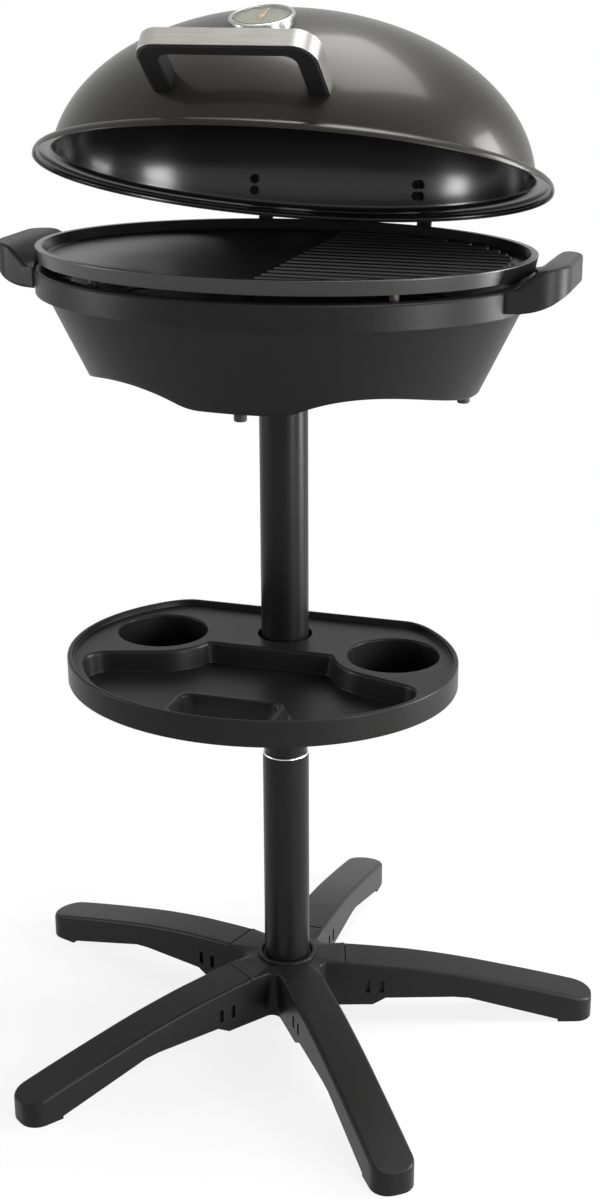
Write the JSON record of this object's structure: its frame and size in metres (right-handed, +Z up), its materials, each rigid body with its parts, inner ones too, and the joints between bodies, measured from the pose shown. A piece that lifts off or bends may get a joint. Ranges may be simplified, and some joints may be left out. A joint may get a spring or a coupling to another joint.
{
  "type": "electric barbecue grill",
  "caption": "Oval electric barbecue on a pole with a star base: ribbed plate in a bowl, hinged dome lid with thermometer, side handles and a clamped tray with cup holders.",
  "frame": {"origin": "on the floor, on the axis of the pole, under the hub", "axes": "+Z up along the pole, -Y towards the front where the lid handle is, +X to the cook's right"},
  "size_m": [0.6352, 0.6056, 1.0545],
  "materials": {
    "stand_plastic": "fine textured black moulding",
    "pole_lacquer": "satin black powder coat",
    "bowl_plastic": "matte dark grey heat-proof moulding",
    "foot_rubber": "matte",
    "screw_steel": "zinc plated",
    "reflector_sheet": "mill sheet",
    "element_steel": "oxidised heater tube",
    "plate_coating": "cast, black non-stick coating",
    "lid_lacquer": "graphite metallic lacquer outside, black inside",
    "brushed_trim": "brushed",
    "dial_face": "printed dial",
    "dial_glass": "clear",
    "needle_paint": "painted",
    "lamp_red": "clear red"
  },
  "bodies": {
    "stand": {"base_hub": "stand_plastic", "leg_back": "stand_plastic", "leg_left_rear": "stand_plastic", "leg_left_front": "stand_plastic", "leg_right_front": "stand_plastic", "leg_right_rear": "stand_plastic", "lower_pole": "pole_lacquer", "upper_pole": "pole_lacquer", "tray": "stand_plastic", "tray_collar": "stand_plastic", "tray_screw": "stand_plastic"},
    "head": {"bowl_housing": "bowl_plastic", "bowl_feet": "foot_rubber", "pole_socket": "bowl_plastic", "socket_screws": "screw_steel", "rim_frame": "bowl_plastic", "handle_right": "bowl_plastic", "handle_left": "bowl_plastic", "handle_screws": "screw_steel", "reflector_pan": "reflector_sheet", "heating_element": "element_steel", "element_clips": "screw_steel", "plate_posts": "screw_steel", "grill_plate": "plate_coating", "control_box": "bowl_plastic", "indicator_lens": "lamp_red", "cord_gland": "bowl_plastic", "hinge_bracket_left": "screw_steel", "hinge_bracket_right": "screw_steel", "hinge_pins": "screw_steel"},
    "lid": {"lid_dome": "lid_lacquer", "hinge_strap_left": "screw_steel", "hinge_strap_right": "screw_steel", "strap_rivets": "screw_steel", "lid_handle_core": "bowl_plastic", "lid_handle_cover": "brushed_trim", "lid_handle_screws": "screw_steel", "thermometer_case": "brushed_trim", "thermometer_dial": "dial_face", "thermometer_glass": "dial_glass", "thermometer_stem": "screw_steel", "thermometer_nut": "screw_steel"},
    "knob": {"control_knob": "bowl_plastic"},
    "needle": {"thermometer_needle": "needle_paint"}
  },
  "joints": [
    {"name": "head_lift", "type": "slide", "parent": "stand", "child": "head", "axis": [0, 0, 1], "range_m": [0, 0.06]},
    {"name": "lid_hinge", "type": "hinge", "parent": "head", "child": "lid", "pos_m": [0, 0.2, 0.803], "axis": [-1, 0, 0], "range_deg": [-20, 70]},
    {"name": "knob_turn", "type": "hinge", "parent": "head", "child": "knob", "pos_m": [0, 0.238, 0.752], "axis": [0, -1, 0], "range_deg": [0, 270]},
    {"name": "needle_turn", "type": "hinge", "parent": "lid", "child": "needle", "pos_m": [0, -0.05351, 1.04312], "axis": [0, 0.2756, -0.9613], "range_deg": [0, 240]}
  ]
}
